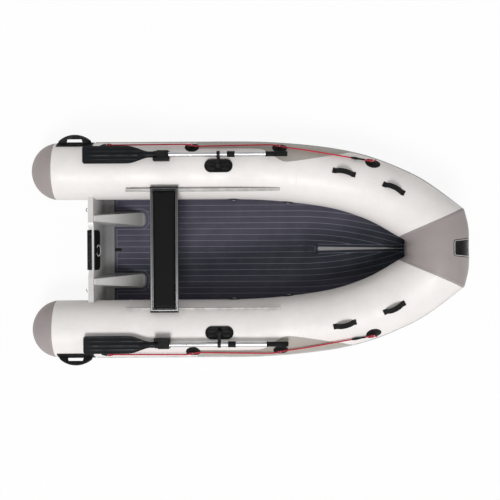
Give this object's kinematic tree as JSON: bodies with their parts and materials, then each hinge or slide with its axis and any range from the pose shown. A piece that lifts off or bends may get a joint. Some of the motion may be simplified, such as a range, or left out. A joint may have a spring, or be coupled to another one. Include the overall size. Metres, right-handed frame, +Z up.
{
  "type": "rigid-bottomed inflatable boat",
  "caption": "Small open boat with a decked hard hull between two inflated tubes that close at a raised bow, a sliding bench, stowed oars, lifelines and a transom for an outboard motor",
  "frame": {"origin": "on the waterline, amidships in the middle plane", "axes": "+X to the bow, +Y to port, +Z up"},
  "size_m": [3.2512, 1.7312, 0.8043],
  "materials": {
    "gelcoat": "moulded light grey GRP with a gloss gelcoat",
    "tube_fabric": "off-white coated tube fabric with glued seams",
    "grey_fabric": "mid-grey coated tube fabric",
    "strake_rubber": "grey moulded rubber strip",
    "track_rubber": "light grey moulded rubber track",
    "deck_foam": "dark navy ribbed foam deck mat with light grooves",
    "black_rubber": "black moulded rubber, satin",
    "webbing": "black woven webbing",
    "rope_red": "dark red braided rope",
    "steel": "polished stainless steel",
    "aluminium": "anodised aluminium, satin",
    "cushion": "black coated upholstery fabric",
    "black_plastic": "black moulded plastic, satin",
    "grip_rubber": "black soft rubber grip",
    "badge": "blank black plate with a light rim"
  },
  "bodies": {
    "hull": {"hull_shell": "gelcoat", "transom": "gelcoat", "knee_port": "gelcoat", "knee_starboard": "gelcoat", "tube_port": "tube_fabric", "tube_starboard": "tube_fabric", "stern_cone_port": "grey_fabric", "stern_cone_starboard": "grey_fabric", "bow_nose": "grey_fabric", "rub_strake_port": "strake_rubber", "rub_strake_starboard": "strake_rubber", "rub_strake_bow": "strake_rubber", "seat_track_port": "track_rubber", "seat_track_starboard": "track_rubber", "deck_mat": "deck_foam", "motor_pad_inner": "black_rubber", "motor_pad_outer": "black_rubber", "rowlock_pad_port": "black_rubber", "rowlock_pad_starboard": "black_rubber", "oar_keeper_port": "black_rubber", "oar_keeper_starboard": "black_rubber", "stern_handle_port": "black_rubber", "stern_handle_starboard": "black_rubber", "lifeline_patches": "black_rubber", "tie_down_patches": "black_rubber", "grab_straps": "webbing", "lifeline_port": "rope_red", "lifeline_starboard": "rope_red", "lifeline_rings": "steel", "tie_down_rings": "steel", "transom_eyes": "steel", "bow_eye": "steel", "drain_plug": "black_plastic", "nose_badge": "badge"},
    "bench": {"bench_board": "aluminium", "bench_pad": "cushion", "bench_end_port": "black_plastic", "bench_end_starboard": "black_plastic"},
    "oar_port": {"oar_shaft_port": "aluminium", "oar_grip_port": "grip_rubber", "oar_blade_port": "black_plastic", "oar_collar_port": "black_plastic", "oar_arm_port": "black_plastic"},
    "oar_starboard": {"oar_shaft_starboard": "aluminium", "oar_grip_starboard": "grip_rubber", "oar_blade_starboard": "black_plastic", "oar_collar_starboard": "black_plastic", "oar_arm_starboard": "black_plastic"}
  },
  "joints": [
    {"name": "bench_slide", "type": "slide", "parent": "hull", "child": "bench", "axis": [1, 0, 0], "range_m": [-0.17, 0.72]},
    {"name": "oar_swing_port", "type": "hinge", "parent": "hull", "child": "oar_port", "pos_m": [-0.234, 0.614, 0.473], "axis": [0, 0, -1], "range_deg": [0, 90]},
    {"name": "oar_swing_starboard", "type": "hinge", "parent": "hull", "child": "oar_starboard", "pos_m": [-0.234, -0.614, 0.473], "axis": [0, 0, 1], "range_deg": [0, 90]}
  ]
}
